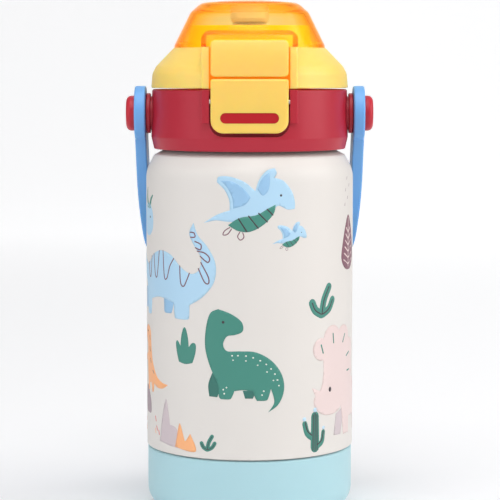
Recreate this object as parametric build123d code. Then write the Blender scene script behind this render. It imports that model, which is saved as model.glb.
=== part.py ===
from build123d import *
import math
import os

# A child's insulated drinking bottle with a hinged, latched cover and a swinging strap.
# Millimetres. +Z is up, the latch faces -Y, the cover's hinge is at +Y and the strap's
# pivots are on X. The origin is the centre of the boot's flat underside.

# ---- driving dimensions: the flask
BODY_R = 38.0
SHOULDER_EDGE = (35.0, 130.4)
SHOULDER_STEEP = 28.6
SHOULDER_SHALLOW = 27.3
SHOULDER_ROUND = 11.0
SHELL_WALL = 0.5
VACUUM_GAP = 2.2
LINER_WALL = 0.5
NECK_R = 27.6
NECK_TOP = 149.0
RIM_WELD = 3.0

BOOT_R = 37.7
BOOT_TOP = 23.1
BOOT_WALL = 1.7
BOOT_FLOOR = 2.0
BOOT_ROUND = 8.0
BASE_DISC_R = 29.0
BASE_DISH = 1.6
GRIP_GROOVES = (15.0, 18.5, 22.0)

# ---- the thread between neck and lid
PITCH = 4.0
RIDGE_START = 142.6
RIDGE_TURNS = 1.0
RIDGE_HEIGHT = 1.1
RIDGE_FOOT = 2.2
RIDGE_CREST = 1.0
THREAD_PLAY = 0.3

# ---- the lid
COLLAR_R = 35.7
COLLAR_LOW = 132.6
COLLAR_TOP = 154.3
COLLAR_WALL = 2.2
COLLAR_BELLY_R = 36.05
COLLAR_FOOT_R = 35.05
FOOT_CHAMFER = 4.4
CORE_R = 30.6
CORE_LOW = 140.6
GASKET_TOP = 150.6
DECK_TOP = 152.9
DECK_R = 31.8
FLANGE_R = 26.5

# ---- the cover
RING_R = 36.05
RING_LOW = 154.8
RING_WALL = 2.0
DOME_LOW = 169.3
DOME_FOOT_R = 27.6
DOME_TOP = 187.2
DOME_WALL = 1.7
ROOF_SAG = 1.2
INNER_WALL_R = 21.7
INNER_WALL_TOP = 177.0

# ---- the latch housing, shared by collar, ring and dome
HOUSING_HALF = 17.0
HOUSING_Y = 34.4
HOUSING_LOW = 142.7
HOUSING_TOP = 175.1
LEAN_START = 158.55
LEAN_R = 38.0
POCKET_HALF = 14.2
POCKET_LOW = 137.8
POCKET_TOP = 172.2
POCKET_DEPTH = 2.2
POCKET_FLOOR = 1.4
PLATE_HALF = 13.65
PLATE_PROUD = 2.4
CATCH_LOW = 158.85
CATCH_TOP = 171.65
CROWN_R = 21.5
CROWN_Y = -15.2
CROWN_Z = 163.7
BUTTON_LOW = 139.15
BUTTON_TOP = 158.15
INSET_HALF = 10.3
INSET_LOW = 142.6
INSET_TOP = 146.3
INSET_DEPTH = 1.2
INSET_SUNK = 0.25
HOOK_HALF = 9.0
HOOK_Y = -33.75
HOOK_Z = 156.65
HOOK_SIZE = 1.4
TOOTH_Y = -32.55
TOOTH_SIZE = 1.0
LATCH_Y = -32.9
LATCH_Z = 150.15
LATCH_PIN_R = 0.9
LATCH_LUG_R = 1.95
LATCH_LUG_X = 11.3
LATCH_LUG_WIDTH = 4.6
LUG_RELIEF_R = 2.2
SPRING_Z = 142.55
SPRING_SEAT_Y = -31.5
SPRING_SEAT_R = 2.3
RUNNING_PLAY = 0.05

# ---- the cover's hinge
HINGE_Y = 39.2
HINGE_Z = 154.6
KNUCKLE_R = 2.9
HINGE_PIN_R = 1.25
HINGE_PIN_HALF = 11.4
COVER_KNUCKLE = (2.7, 5.8)
COLLAR_KNUCKLE = (6.1, 11.1)

# ---- the strap and its pivots
PIVOT_Z = 145.5
STRAP_IN = 37.9
STRAP_THICK = 4.1
STRAP_WIDTH = 15.0
STRAP_LENGTH = 81.5
STRAP_TILT = 34.75
EYE_R = 10.0
STUD_R = 4.0
KNOB_R = 6.45
KNOB_OUT = 45.2
WASHER_R = 7.35
PAD_X = 36.25
PAD_R = 6.2
TAIL_R = 3.0
TAIL_X = 31.4

# ---- the spout, straw, air valve and stopper
SPOUT_LOW = 142.5
SPOUT_TOP = 178.3
SPOUT_R = 5.6
SPOUT_BORE_R = 2.2
SPOUT_HOLE_R = 5.0
STRAW_SEAT = 7.0
STRAW_R = 3.2
STRAW_BORE_R = 2.3
STRAW_LOW = 9.0
STRAW_TOP = 149.3
VALVE_Y = 15.0
VALVE_HOLE_R = 1.6
PLUG_R = 7.0
PLUG_LOW = 178.4

# ---- working sizes, past the edges of everything they cut
FAR = 120.0
UNDER_FRONT = 100.0
OVER_FRONT = 200.0


def lathe(points, rounds=()):
    """Turns an outline of (radius, height) points about Z; rounds is ((point, radius), ...)."""
    face = make_face(Polyline(*points, close=True))
    for corner, radius in rounds:
        near = min(face.vertices(), key=lambda v: math.hypot(v.X - corner[0], v.Y - corner[1]))
        face = fillet(near, radius)
    return revolve(Plane.XZ * face, Axis.Z)


def slab(low, high):
    """All the space between two heights."""
    return Pos(0, 0, (low + high) / 2) * Box(FAR, FAR, high - low)


def rod(radius, x0, x1, y, z):
    """A cylinder along X."""
    turn = Pos((x0 + x1) / 2, y, z) * Rot(0, 90, 0)
    return turn * Cylinder(radius, abs(x1 - x0))


def both_sides(solid):
    """A solid together with its mirror image across the YZ plane."""
    return [solid, mirror(solid, about=Plane.YZ)]


def front_space(offset, half_width, low, high):
    """The space behind the latch housing's leaning face, moved out by offset."""
    face_y = -HOUSING_Y - offset
    tall = LEAN_START - UNDER_FRONT
    upright = Pos(face_y / 2, UNDER_FRONT + tall / 2) * Rectangle(-face_y, tall)
    lean = Pos(-HOUSING_Y + LEAN_R, LEAN_START) * Circle(LEAN_R + offset)
    behind = Pos(-20, LEAN_START + 20) * Rectangle(40, 40)
    side = upright + (lean & behind)
    block = extrude(Plane.YZ * side, half_width, both=True)
    return block & slab(low, high)


def front_layer(inner, outer):
    """A layer of the front, between two offsets from the housing's face."""
    outside = front_space(outer, FAR / 3, UNDER_FRONT + 1, OVER_FRONT)
    return outside - front_space(inner, FAR / 2, UNDER_FRONT + 1, OVER_FRONT)


def window(half_width, low, high, round_low, round_top):
    """A front-facing rounded rectangle, as a bar along Y on the -Y side."""
    outline = Pos(0, (low + high) / 2) * Rectangle(2 * half_width, high - low)
    corners = outline.vertices()
    outline = fillet(corners.filter_by(lambda v: v.Y < (low + high) / 2), round_low)
    corners = outline.vertices().group_by(Axis.Y)[-1]
    outline = fillet(corners, round_top)
    return extrude(Plane.XZ * outline, FAR / 2)


def helix_bar(low, turns, foot_r, foot, crest_r, crest):
    """A trapezium swept up a right-handed helix that starts over +X at the height low. It is
    foot tall at foot_r and crest tall at crest_r."""
    path = Pos(0, 0, low) * Helix(PITCH, PITCH * turns, foot_r)
    section = make_face(
        Polyline(
            (foot_r, low - foot / 2),
            (crest_r, low - crest / 2),
            (crest_r, low + crest / 2),
            (foot_r, low + foot / 2),
            close=True,
        )
    )
    return sweep(Plane.XZ * section, path=path, is_frenet=True)


# ---------------------------------------------------------------- flask
def shoulder(depth, neck_r):
    """The shoulder's three corners from the body up to the neck, depth below its outer face."""
    steep = math.radians(SHOULDER_STEEP)
    shallow = math.radians(SHOULDER_SHALLOW)
    edge_r, edge_z = SHOULDER_EDGE
    steep_reach = math.cos(steep) * edge_r + math.sin(steep) * edge_z - depth
    shallow_reach = math.sin(shallow) * edge_r + math.cos(shallow) * edge_z - depth
    body_r = BODY_R - depth
    low_z = (steep_reach - math.cos(steep) * body_r) / math.sin(steep)
    neck_z = (shallow_reach - math.sin(shallow) * neck_r) / math.cos(shallow)
    turn = math.cos(steep + shallow)
    across = (steep_reach * math.cos(shallow) - shallow_reach * math.sin(steep)) / turn
    up = (shallow_reach * math.cos(steep) - steep_reach * math.sin(shallow)) / turn
    return (body_r, low_z), (across, up), (neck_r, neck_z)


def outer_shell():
    """The coated outer wall, from the welded base to the threaded neck's rim."""
    step_r = BOOT_R - BOOT_WALL
    low = BOOT_FLOOR
    wall = SHELL_WALL
    body, edge, neck = shoulder(0, NECK_R)
    inner_body, inner_edge, inner_neck = shoulder(wall, NECK_R - wall)
    outline = [
        (BASE_DISC_R, low),
        (step_r, low),
        (step_r, BOOT_TOP + 0.1),
        (BODY_R, BOOT_TOP + 0.6),
        body,
        edge,
        neck,
        (NECK_R, NECK_TOP),
        (NECK_R - wall, NECK_TOP),
        inner_neck,
        inner_edge,
        inner_body,
        (BODY_R - wall, BOOT_TOP + 0.6 + wall),
        (step_r - wall, BOOT_TOP + 0.1 + wall),
        (step_r - wall, low + wall),
        (BASE_DISC_R, low + wall),
    ]
    rounds = [
        ((step_r, low), BOOT_ROUND - BOOT_WALL),
        ((step_r - wall, low + wall), BOOT_ROUND - BOOT_WALL - wall),
        (body, SHOULDER_ROUND),
        (inner_body, SHOULDER_ROUND - wall),
        (edge, 1.5),
        (inner_edge, 1.5 - wall),
        (neck, 0.8),
        (inner_neck, 1.3),
        ((BODY_R, BOOT_TOP + 0.6), 0.4),
    ]
    shell = lathe(outline, rounds)
    ridge = helix_bar(
        RIDGE_START, RIDGE_TURNS, NECK_R - 0.3, RIDGE_FOOT, NECK_R + RIDGE_HEIGHT, RIDGE_CREST
    )
    return shell + ridge


def inner_liner():
    """The steel wall that holds the drink, welded to the outer wall at the rim."""
    out_r = BODY_R - SHELL_WALL - VACUUM_GAP
    in_r = out_r - LINER_WALL
    low = 6.5
    neck = NECK_R - SHELL_WALL
    gap = 0.6
    depth = SHELL_WALL + VACUUM_GAP
    outer = shoulder(depth, neck - gap)
    inner = shoulder(depth + LINER_WALL, neck - gap - LINER_WALL)
    floor_r = BOOT_R - BOOT_WALL - SHELL_WALL - VACUUM_GAP
    lip = NECK_TOP - RIM_WELD
    outline = [
        (0, low),
        (floor_r, low),
        (floor_r, BOOT_TOP),
        (out_r, BOOT_TOP + 2),
        *outer,
        (neck - gap, lip),
        (neck, lip),
        (neck, NECK_TOP),
        (neck - gap - LINER_WALL, NECK_TOP),
        *reversed(inner),
        (in_r, BOOT_TOP + 2.3),
        (floor_r - LINER_WALL, BOOT_TOP + 0.3),
        (floor_r - LINER_WALL, low + LINER_WALL),
        (0, low + LINER_WALL),
    ]
    rounds = [
        ((floor_r, low), 6.0),
        ((floor_r - LINER_WALL, low + LINER_WALL), 6.0 - LINER_WALL),
        (outer[0], 8.0),
        (inner[0], 8.0 - LINER_WALL),
        (outer[1], 2.0),
        (inner[1], 2.0 - LINER_WALL),
        (outer[2], 1.5),
        (inner[2], 1.5 + LINER_WALL),
    ]
    return lathe(outline, rounds)


def base_disc():
    """The welded bottom of the outer wall, dished up round a sealed nipple."""
    low = BOOT_FLOOR
    dish = BASE_DISH
    outline = [
        (0, low + dish),
        (7.0, low + dish),
        (9.0, low),
        (BASE_DISC_R, low),
        (BASE_DISC_R, low + SHELL_WALL),
        (9.4, low + SHELL_WALL),
        (7.4, low + dish + SHELL_WALL),
        (0, low + dish + SHELL_WALL),
    ]
    return lathe(outline)


def vacuum_getter():
    """The gas-absorbing pellet in its cup, spot-welded inside the vacuum space."""
    base = BOOT_FLOOR + SHELL_WALL
    cup = Pos(20, 0, base + 0.6) * Cylinder(3.0, 1.2)
    pellet = Pos(20, 0, base + 1.5) * Cylinder(2.4, 0.6)
    return cup + pellet


def base_boot():
    """The soft boot, with grip rings moulded in its underside."""
    inner = BOOT_R - BOOT_WALL
    outline = [
        (0, 0),
        (BOOT_R, 0),
        (BOOT_R, BOOT_TOP),
        (inner, BOOT_TOP),
        (inner, BOOT_FLOOR),
        (0, BOOT_FLOOR),
    ]
    rounds = [
        ((BOOT_R, 0), BOOT_ROUND),
        ((inner, BOOT_FLOOR), BOOT_ROUND - BOOT_WALL),
        ((BOOT_R, BOOT_TOP), 0.8),
    ]
    boot = lathe(outline, rounds)
    for radius in GRIP_GROOVES:
        boot -= Torus(radius, 0.5)
    return boot


# ---------------------------------------------------------------- lid
def lid_gasket():
    """The ring seal that the neck's rim presses against."""
    inner = NECK_R - SHELL_WALL - 0.6 - LINER_WALL - 0.2
    outline = [
        (inner, NECK_TOP),
        (NECK_R + 0.15, NECK_TOP),
        (NECK_R + 0.15, GASKET_TOP),
        (inner, GASKET_TOP),
    ]
    return lathe(outline)


def lid_collar():
    """The lid's outer body: latch housing, strap pads and rear hinge lugs."""
    inner = COLLAR_R - COLLAR_WALL
    flange_low = DECK_TOP
    outline = [
        (COLLAR_FOOT_R, COLLAR_LOW),
        (COLLAR_BELLY_R, COLLAR_LOW + FOOT_CHAMFER),
        (COLLAR_R, COLLAR_TOP),
        (FLANGE_R, COLLAR_TOP),
        (FLANGE_R, flange_low),
        (inner, flange_low),
        (inner, COLLAR_LOW),
    ]
    rounds = [
        ((COLLAR_R, COLLAR_TOP), 0.7),
        ((FLANGE_R, COLLAR_TOP), 0.5),
        ((COLLAR_BELLY_R, COLLAR_LOW + FOOT_CHAMFER), 2.0),
        ((COLLAR_FOOT_R, COLLAR_LOW), 0.4),
    ]
    collar = lathe(outline, rounds)
    hollow = lid_hollow()
    cheeks = front_space(0, HOUSING_HALF, HOUSING_LOW, COLLAR_TOP)
    cheeks = fillet(cheeks.edges().filter_by(Axis.Z).group_by(Axis.Y)[0], 0.6)
    backing = front_space(-2.0, HOUSING_HALF, POCKET_LOW - 2.0, COLLAR_TOP)
    backing &= Pos(0, 0, 142) * Cylinder(COLLAR_R - 0.5, 60)
    collar += (cheeks + backing) - hollow
    collar -= window(POCKET_HALF, POCKET_LOW, COLLAR_TOP + 10, 5.2, 0.5) & front_pocket()
    for relief in both_sides(rod(LUG_RELIEF_R, 8.6, POCKET_HALF, LATCH_Y, LATCH_Z)):
        collar -= relief
    collar -= rod(LATCH_PIN_R, -HOUSING_HALF + 0.6, HOUSING_HALF - 0.6, LATCH_Y, LATCH_Z)
    collar -= spring_seat(SPRING_SEAT_R, SPRING_SEAT_Y)
    for seat in both_sides(strap_seat() - hollow):
        collar += seat
    for hole in both_sides(rod(TAIL_R, TAIL_X - 0.2, PAD_X + 1, 0, PIVOT_Z)):
        collar -= hole
    for lug in both_sides(collar_lug()):
        collar += lug
    collar -= rod(HINGE_PIN_R, -FAR, FAR, HINGE_Y, HINGE_Z)
    return collar


def lid_hollow():
    """The space inside the collar that the threaded core and its deck fill."""
    inner = COLLAR_R - COLLAR_WALL
    return lathe(
        [
            (0, COLLAR_LOW - 10),
            (CORE_R + 0.2, COLLAR_LOW - 10),
            (CORE_R + 0.2, GASKET_TOP - 0.1),
            (inner - 1.2, GASKET_TOP - 0.1),
            (inner - 1.2, DECK_TOP),
            (FLANGE_R, DECK_TOP),
            (FLANGE_R, COLLAR_TOP + 5),
            (0, COLLAR_TOP + 5),
        ]
    )


def spring_seat(radius, floor_y):
    """A blind hole for the latch spring, bored back from the pocket to floor_y."""
    depth = floor_y + HOUSING_Y
    return Pos(0, floor_y - depth / 2, SPRING_Z) * Rot(90, 0, 0) * Cylinder(radius, depth)


def front_pocket():
    """The space in front of the latch pocket's floor."""
    return Pos(0, 0, LATCH_Z) * Box(60, FAR, 80) - front_space(
        -POCKET_DEPTH, FAR / 3, UNDER_FRONT + 1, OVER_FRONT
    )


def strap_seat():
    """The pad that a strap pivots on, with its socket's wall inside the collar."""
    pad = rod(PAD_R, COLLAR_R - 1.5, PAD_X, 0, PIVOT_Z)
    socket = Pos(32.5, 0, PIVOT_Z) * Box(5.0, 12.0, 12.0)
    return pad + socket


def collar_lug():
    """One rear hinge lug: a knuckle on a gusset that runs down the collar's wall."""
    gusset = make_face(
        Polyline(
            (HINGE_Y + KNUCKLE_R, HINGE_Z),
            (HINGE_Y + 1.9, HINGE_Z - 4.2),
            (34.6, HINGE_Z - 11.5),
            (34.2, HINGE_Z - 11.5),
            (34.2, HINGE_Z - 0.8),
            (HINGE_Y, HINGE_Z - 0.2),
            close=True,
        )
    )
    inside, outside = COLLAR_KNUCKLE
    web = Pos(inside, 0, 0) * extrude(Plane.YZ * gusset, outside - inside)
    return rod(KNUCKLE_R, inside, outside, HINGE_Y, HINGE_Z) + web


def lid_core():
    """The threaded inner of the lid and its deck."""
    bore = NECK_R + THREAD_PLAY
    outline = [
        (bore, CORE_LOW),
        (CORE_R, CORE_LOW),
        (CORE_R, GASKET_TOP),
        (DECK_R, GASKET_TOP),
        (DECK_R, DECK_TOP),
        (0, DECK_TOP),
        (0, GASKET_TOP),
        (bore, GASKET_TOP),
    ]
    core = lathe(outline)
    groove_turns = RIDGE_TURNS + 1.0 + 0.12
    groove = helix_bar(
        RIDGE_START - PITCH,
        groove_turns,
        bore - 0.6,
        RIDGE_FOOT + 2 * THREAD_PLAY + 0.5,
        NECK_R + RIDGE_HEIGHT + THREAD_PLAY,
        RIDGE_CREST + 2 * THREAD_PLAY,
    )
    core -= groove
    core -= Pos(0, 0, DECK_TOP) * Cylinder(SPOUT_HOLE_R, 10)
    core -= Pos(0, VALVE_Y, DECK_TOP) * Cylinder(VALVE_HOLE_R, 10)
    return core


def mouthpiece():
    """The soft drinking spout, through the deck, with a flange above and a barb below."""
    blade_low = DECK_TOP + 9.5
    stem = lathe(
        [
            (SPOUT_BORE_R, SPOUT_LOW),
            (STRAW_R + 0.1, SPOUT_LOW),
            (SPOUT_R, GASKET_TOP - 1.0),
            (SPOUT_R, GASKET_TOP),
            (SPOUT_HOLE_R, GASKET_TOP),
            (SPOUT_HOLE_R, DECK_TOP),
            (9.5, DECK_TOP),
            (9.5, DECK_TOP + 1.6),
            (7.4, DECK_TOP + 2.4),
            (SPOUT_R, blade_low - 0.5),
            (SPOUT_R, blade_low),
            (SPOUT_BORE_R, blade_low),
        ],
        [((7.4, DECK_TOP + 2.4), 1.5), ((9.5, DECK_TOP + 1.6), 0.6)],
    )
    foot = Plane.XY.offset(blade_low) * Circle(SPOUT_R)
    tip = Plane.XY.offset(SPOUT_TOP) * Ellipse(6.6, 4.3)
    blade = loft([foot, tip])
    blade = fillet(blade.edges().group_by(Axis.Z)[-1], 1.0)
    blade -= Pos(0, 0, blade_low) * Cylinder(SPOUT_BORE_R, FAR)
    seat = Pos(0, 0, SPOUT_LOW + STRAW_SEAT / 2) * Cylinder(STRAW_R, STRAW_SEAT)
    return stem + blade - seat


def straw():
    """The straw, pushed up into the spout, with a notch so that it can't seal on the floor."""
    length = STRAW_TOP - STRAW_LOW
    wall = Cylinder(STRAW_R, length) - Cylinder(STRAW_BORE_R, FAR + length)
    notch = Pos(0, 0, STRAW_LOW) * Rot(0, 90, 0) * Cylinder(1.6, 20)
    return Pos(0, 0, (STRAW_LOW + STRAW_TOP) / 2) * wall - notch


def vent_valve():
    """The small air-inlet valve, pushed through the deck behind the spout."""
    valve = lathe(
        [
            (0, 148.6),
            (1.2, 148.6),
            (2.3, GASKET_TOP - 0.5),
            (2.3, GASKET_TOP),
            (VALVE_HOLE_R, GASKET_TOP),
            (VALVE_HOLE_R, DECK_TOP),
            (3.0, DECK_TOP),
            (3.0, DECK_TOP + 0.8),
            (0, DECK_TOP + 0.8),
        ],
        [((3.0, DECK_TOP + 0.8), 0.4)],
    )
    return Pos(0, VALVE_Y, 0) * valve


# ---------------------------------------------------------------- cover
def cover_ring():
    """The cover's opaque lower part: ring, latch housing, inner wall and hinge knuckles."""
    inner = RING_R - RING_WALL
    outline = [
        (RING_R, RING_LOW),
        (35.6, 160.0),
        (34.3, 162.6),
        (DOME_FOOT_R + 0.2, DOME_LOW),
        (INNER_WALL_R + 1.4, DOME_LOW),
        (INNER_WALL_R, INNER_WALL_TOP),
        (INNER_WALL_R - 1.5, INNER_WALL_TOP),
        (INNER_WALL_R - 1.5, 167.8),
        (26.8, 167.2),
        (inner - 1.3, 160.4),
        (inner, 158.6),
        (inner, RING_LOW),
    ]
    rounds = [
        ((35.6, 160.0), 4.0),
        ((34.3, 162.6), 4.0),
        ((RING_R, RING_LOW), 0.4),
        ((inner - 1.3, 160.4), 1.5),
    ]
    ring = lathe(outline, rounds)
    housing = front_space(0, HOUSING_HALF, RING_LOW, DOME_LOW)
    housing = fillet(housing.edges().group_by(Axis.X)[0], 0.6)
    housing = fillet(housing.edges().group_by(Axis.X)[-1], 0.6)
    housing &= slab(RING_LOW, DOME_LOW)
    cavity = lathe(
        [
            (0, RING_LOW - 5),
            (inner, RING_LOW - 5),
            (inner, 158.6),
            (inner - 1.3, 160.4),
            (26.8, 167.2),
            (INNER_WALL_R - 1.5, 167.8),
            (INNER_WALL_R - 1.5, 180),
            (0, 180),
        ]
    )
    backing = front_space(-POCKET_DEPTH, HOUSING_HALF, RING_LOW, DOME_LOW)
    ring += housing - cavity
    ring -= window(POCKET_HALF, LATCH_Z, POCKET_TOP, 0.5, 1.8) & front_pocket()
    behind = front_space(-POCKET_DEPTH - POCKET_FLOOR, FAR / 3, UNDER_FRONT + 1, OVER_FRONT)
    ring += (backing - behind) & Pos(0, 0, LATCH_Z) * Cylinder(RING_R - 0.6, 80)
    # the tooth that the button's hook stands against
    tooth = Box(2 * HOOK_HALF, TOOTH_SIZE, TOOTH_SIZE)
    ring += Pos(0, TOOTH_Y, RING_LOW + TOOTH_SIZE / 2) * tooth
    ring += cover_knuckles()
    ring -= rod(HINGE_PIN_R + RUNNING_PLAY, -FAR, FAR, HINGE_Y, HINGE_Z)
    return ring


def cover_knuckles():
    """Two knuckles between the collar's lugs, with room for the spring between them."""
    web = make_face(
        Polyline(
            (HINGE_Y + KNUCKLE_R, HINGE_Z),
            (HINGE_Y + 1.6, HINGE_Z + 3.4),
            (34.9, HINGE_Z + 6.6),
            (34.6, HINGE_Z + 6.6),
            (34.6, HINGE_Z + 0.6),
            (HINGE_Y, HINGE_Z),
            close=True,
        )
    )
    inside, outside = COVER_KNUCKLE
    knuckle = rod(KNUCKLE_R, inside, outside, HINGE_Y, HINGE_Z)
    knuckle += Pos(inside, 0, 0) * extrude(Plane.YZ * web, outside - inside)
    pair = both_sides(knuckle)
    return pair[0] + pair[1]


def cover_dome():
    """The clear tinted dome, with the arch that frames the catch plate."""
    top_in = DOME_TOP - DOME_WALL
    outline = [
        (DOME_FOOT_R, DOME_LOW),
        (DOME_FOOT_R, DOME_LOW + 0.9),
        (21.6, 182.3),
        (17.8, 185.65),
        (0, DOME_TOP),
        (0, top_in),
        (15.8, top_in - ROOF_SAG),
        (19.9, 181.4),
        (25.2, DOME_LOW + 1.8),
        (25.2, DOME_LOW),
    ]
    rounds = [
        ((21.6, 182.3), 3.2),
        ((17.8, 185.65), 5.0),
        ((19.9, 181.4), 2.4),
        ((15.8, top_in - ROOF_SAG), 3.0),
    ]
    dome = lathe(outline, rounds)
    hollow = lathe(
        [
            (0, DOME_LOW - 1),
            (25.2, DOME_LOW - 1),
            (25.2, DOME_LOW + 1.8),
            (19.9, 181.4),
            (0, 181.4),
        ]
    )
    arch = front_space(0, HOUSING_HALF, DOME_LOW, HOUSING_TOP)
    arch &= window(HOUSING_HALF, LATCH_Z, HOUSING_TOP, 0.5, 3.4)
    rim = arch.edges().filter_by(lambda e: e.center().Y < -29.0)
    arch = fillet(rim.filter_by(lambda e: e.center().Z > DOME_LOW + 0.5), 0.6)
    dome += arch - hollow
    # the arch is moulded hollow, open to the dome, with its wall as thick as the dome's
    depth = POCKET_DEPTH + POCKET_FLOOR
    dome -= front_space(-depth, HOUSING_HALF - DOME_WALL, DOME_LOW - 1, HOUSING_TOP - DOME_WALL)
    dome -= window(POCKET_HALF, LATCH_Z, CATCH_TOP + 0.5, 0.5, 2.2) & front_pocket()
    return dome


def catch_plate():
    """The fixed upper plate on the cover, above the button."""
    plate = front_layer(-0.6, PLATE_PROUD + 1) & window(PLATE_HALF, CATCH_LOW, CATCH_TOP, 1.7, 1.7)
    plate &= rod(CROWN_R, -FAR, FAR, CROWN_Y, CROWN_Z)
    plate = fillet(crowned_edges(plate), 0.7)
    stud = front_layer(-POCKET_DEPTH, -0.5) & window(8.0, CATCH_LOW + 2.5, CATCH_TOP - 4.3, 0.5, 0.5)
    return plate + stud


def crowned_edges(plate):
    """The edges of the catch plate that lie on its crowned face."""

    def on_crown(edge):
        reaches = [math.hypot(p.Y - CROWN_Y, p.Z - CROWN_Z) for p in (edge @ 0.0, edge @ 0.5, edge @ 1.0)]
        return all(abs(reach - CROWN_R) < 0.02 for reach in reaches)

    return plate.edges().filter_by(on_crown)


def front_edges(plate, offset):
    """The edges of a plate that lie on its front face."""
    centre_y = -HOUSING_Y + LEAN_R

    def on_front(edge):
        for point in (edge @ 0.0, edge @ 0.5, edge @ 1.0):
            if point.Z <= LEAN_START + 0.01:
                reach = abs(point.Y + HOUSING_Y + offset)
            else:
                away = math.hypot(point.Y - centre_y, point.Z - LEAN_START)
                reach = abs(away - LEAN_R - offset)
            if reach > 0.02:
                return False
        return True

    return plate.edges().filter_by(on_front)


def spout_plug():
    """The soft stopper under the dome's roof that closes the spout."""
    roof = DOME_TOP - DOME_WALL
    plug = lathe(
        [
            (0, PLUG_LOW),
            (PLUG_R - 0.6, PLUG_LOW),
            (PLUG_R, PLUG_LOW + 1.6),
            (PLUG_R, DOME_TOP),
            (0, DOME_TOP),
        ],
        [((PLUG_R - 0.6, PLUG_LOW), 0.8)],
    )
    under = lathe([(0, 170), (15.8, 170), (15.8, roof - ROOF_SAG), (0, roof)])
    return plug & under


# ---------------------------------------------------------------- latch
def latch_button():
    """The rocking button: press its lower end and the hook above the pin lets the cover go."""
    plate = front_layer(0, PLATE_PROUD) & window(PLATE_HALF, BUTTON_LOW, BUTTON_TOP, 4.5, 1.0)
    plate = fillet(front_edges(plate, PLATE_PROUD), 0.8)
    plate -= inset_outline() & front_layer(PLATE_PROUD - INSET_DEPTH, PLATE_PROUD + 1)
    lug = extrude(Plane.YZ * latch_lug(), LATCH_LUG_WIDTH / 2, both=True)
    for side in both_sides(Pos(LATCH_LUG_X, 0, 0) * lug):
        plate += side
    plate += Pos(0, HOOK_Y, HOOK_Z) * Box(2 * HOOK_HALF, HOOK_SIZE, HOOK_SIZE)
    plate -= rod(LATCH_PIN_R + RUNNING_PLAY, -FAR, FAR, LATCH_Y, LATCH_Z)
    return plate


def latch_lug():
    """Side view of one of the button's two pin lugs."""
    boss = Pos(LATCH_Y, LATCH_Z) * Circle(LATCH_LUG_R)
    reach = HOUSING_Y + LATCH_Y + 0.4
    neck = Pos((LATCH_Y - HOUSING_Y) / 2, LATCH_Z) * Rectangle(reach, 2 * LATCH_LUG_R)
    return boss + neck


def inset_outline():
    """The pill-shaped outline of the press mark, as a bar along Y."""
    end_r = (INSET_TOP - INSET_LOW) / 2 - 0.01
    return window(INSET_HALF, INSET_LOW, INSET_TOP, end_r, end_r)


def latch_inset():
    """The soft press mark, set a little below the button's face."""
    return inset_outline() & front_layer(PLATE_PROUD - INSET_DEPTH, PLATE_PROUD - INSET_SUNK)


def latch_pin():
    """The steel pin that the button rocks on, pressed into the collar's cheeks."""
    return rod(LATCH_PIN_R, -HOUSING_HALF + 0.7, HOUSING_HALF - 0.7, LATCH_Y, LATCH_Z)


def coil(radius, wire, pitch, turns):
    """A round wire wound up Z."""
    path = Helix(pitch, pitch * turns, radius)
    section = Plane(origin=path @ 0, z_dir=path % 0) * Circle(wire)
    return sweep(section, path=path, is_frenet=True)


def latch_spring():
    """The compression spring behind the button's lower end."""
    wire = 0.25
    wound = coil(1.7, wire, 0.75, 3.0)
    return Pos(0, SPRING_SEAT_Y - wire, SPRING_Z) * Rot(90, 0, 0) * wound


def hinge_pin():
    """The steel pin through the rear lugs and knuckles."""
    return rod(HINGE_PIN_R, -HINGE_PIN_HALF, HINGE_PIN_HALF, HINGE_Y, HINGE_Z)


def cover_spring():
    """The torsion spring round the hinge pin, which throws the cover open."""
    wire = 0.35
    wound = coil(1.75, wire, 0.85, 4.0)
    return Pos(-1.7, HINGE_Y, HINGE_Z) * Rot(0, 90, 0) * wound


# ---------------------------------------------------------------- strap
def strap_curve(offset):
    """One half of the strap's line, offset outwards, from the pivot down to the middle."""
    middle = STRAP_IN + STRAP_THICK / 2
    straight = 24.0
    sway_drop = 28.5
    sway_in = 1.45
    sway_r = (sway_drop**2 + sway_in**2) / (2 * sway_in)
    sway = math.degrees(math.asin(sway_drop / sway_r))
    bottom = STRAP_LENGTH - STRAP_THICK / 2
    bend_r = (bottom - straight - sway_drop) / (1 - math.sin(math.radians(sway)))
    first = Line((middle + offset, 0), (middle + offset, -straight))
    second = JernArc(first @ 1, (0, -1), sway_r + offset, -sway)
    third = JernArc(second @ 1, second % 1, bend_r + offset, -(90 - sway))
    fourth = Line(third @ 1, (0, (third @ 1).Y))
    return [first, second, third, fourth]


def handle_strap():
    """The carry strap: a stiff moulded band with an eye at each end."""
    outer = strap_curve(STRAP_THICK / 2)
    inner = strap_curve(-STRAP_THICK / 2)
    start = Line(inner[0] @ 0, outer[0] @ 0)
    middle = Line(outer[3] @ 1, inner[3] @ 1)
    half = make_face(Wire(outer + [middle] + inner + [start]))
    band = half + mirror(half, about=Plane.YZ)
    strap = extrude(Plane.XZ * band, STRAP_WIDTH / 2, both=True)
    for eye in both_sides(rod(EYE_R, STRAP_IN, STRAP_IN + STRAP_THICK, 0, 0)):
        strap += eye
    strap = fillet(strap.edges().filter_by(lambda e: e.length > 6.0), 0.7)
    strap -= rod(STUD_R + RUNNING_PLAY, -FAR, FAR, 0, 0)
    return Pos(0, 0, PIVOT_Z) * Rot(STRAP_TILT, 0, 0) * strap


def handle_knob():
    """A domed rivet: head outside the strap, stud through it, tail pressed into the collar."""
    head = rod(KNOB_R, STRAP_IN + STRAP_THICK + 0.05, KNOB_OUT, 0, PIVOT_Z)
    head = fillet(head.edges().group_by(Axis.X)[-1], 1.9)
    stud = rod(STUD_R, PAD_X, STRAP_IN + STRAP_THICK + 0.05, 0, PIVOT_Z)
    tail = rod(TAIL_R, TAIL_X, PAD_X, 0, PIVOT_Z)
    return head + stud + tail


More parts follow.
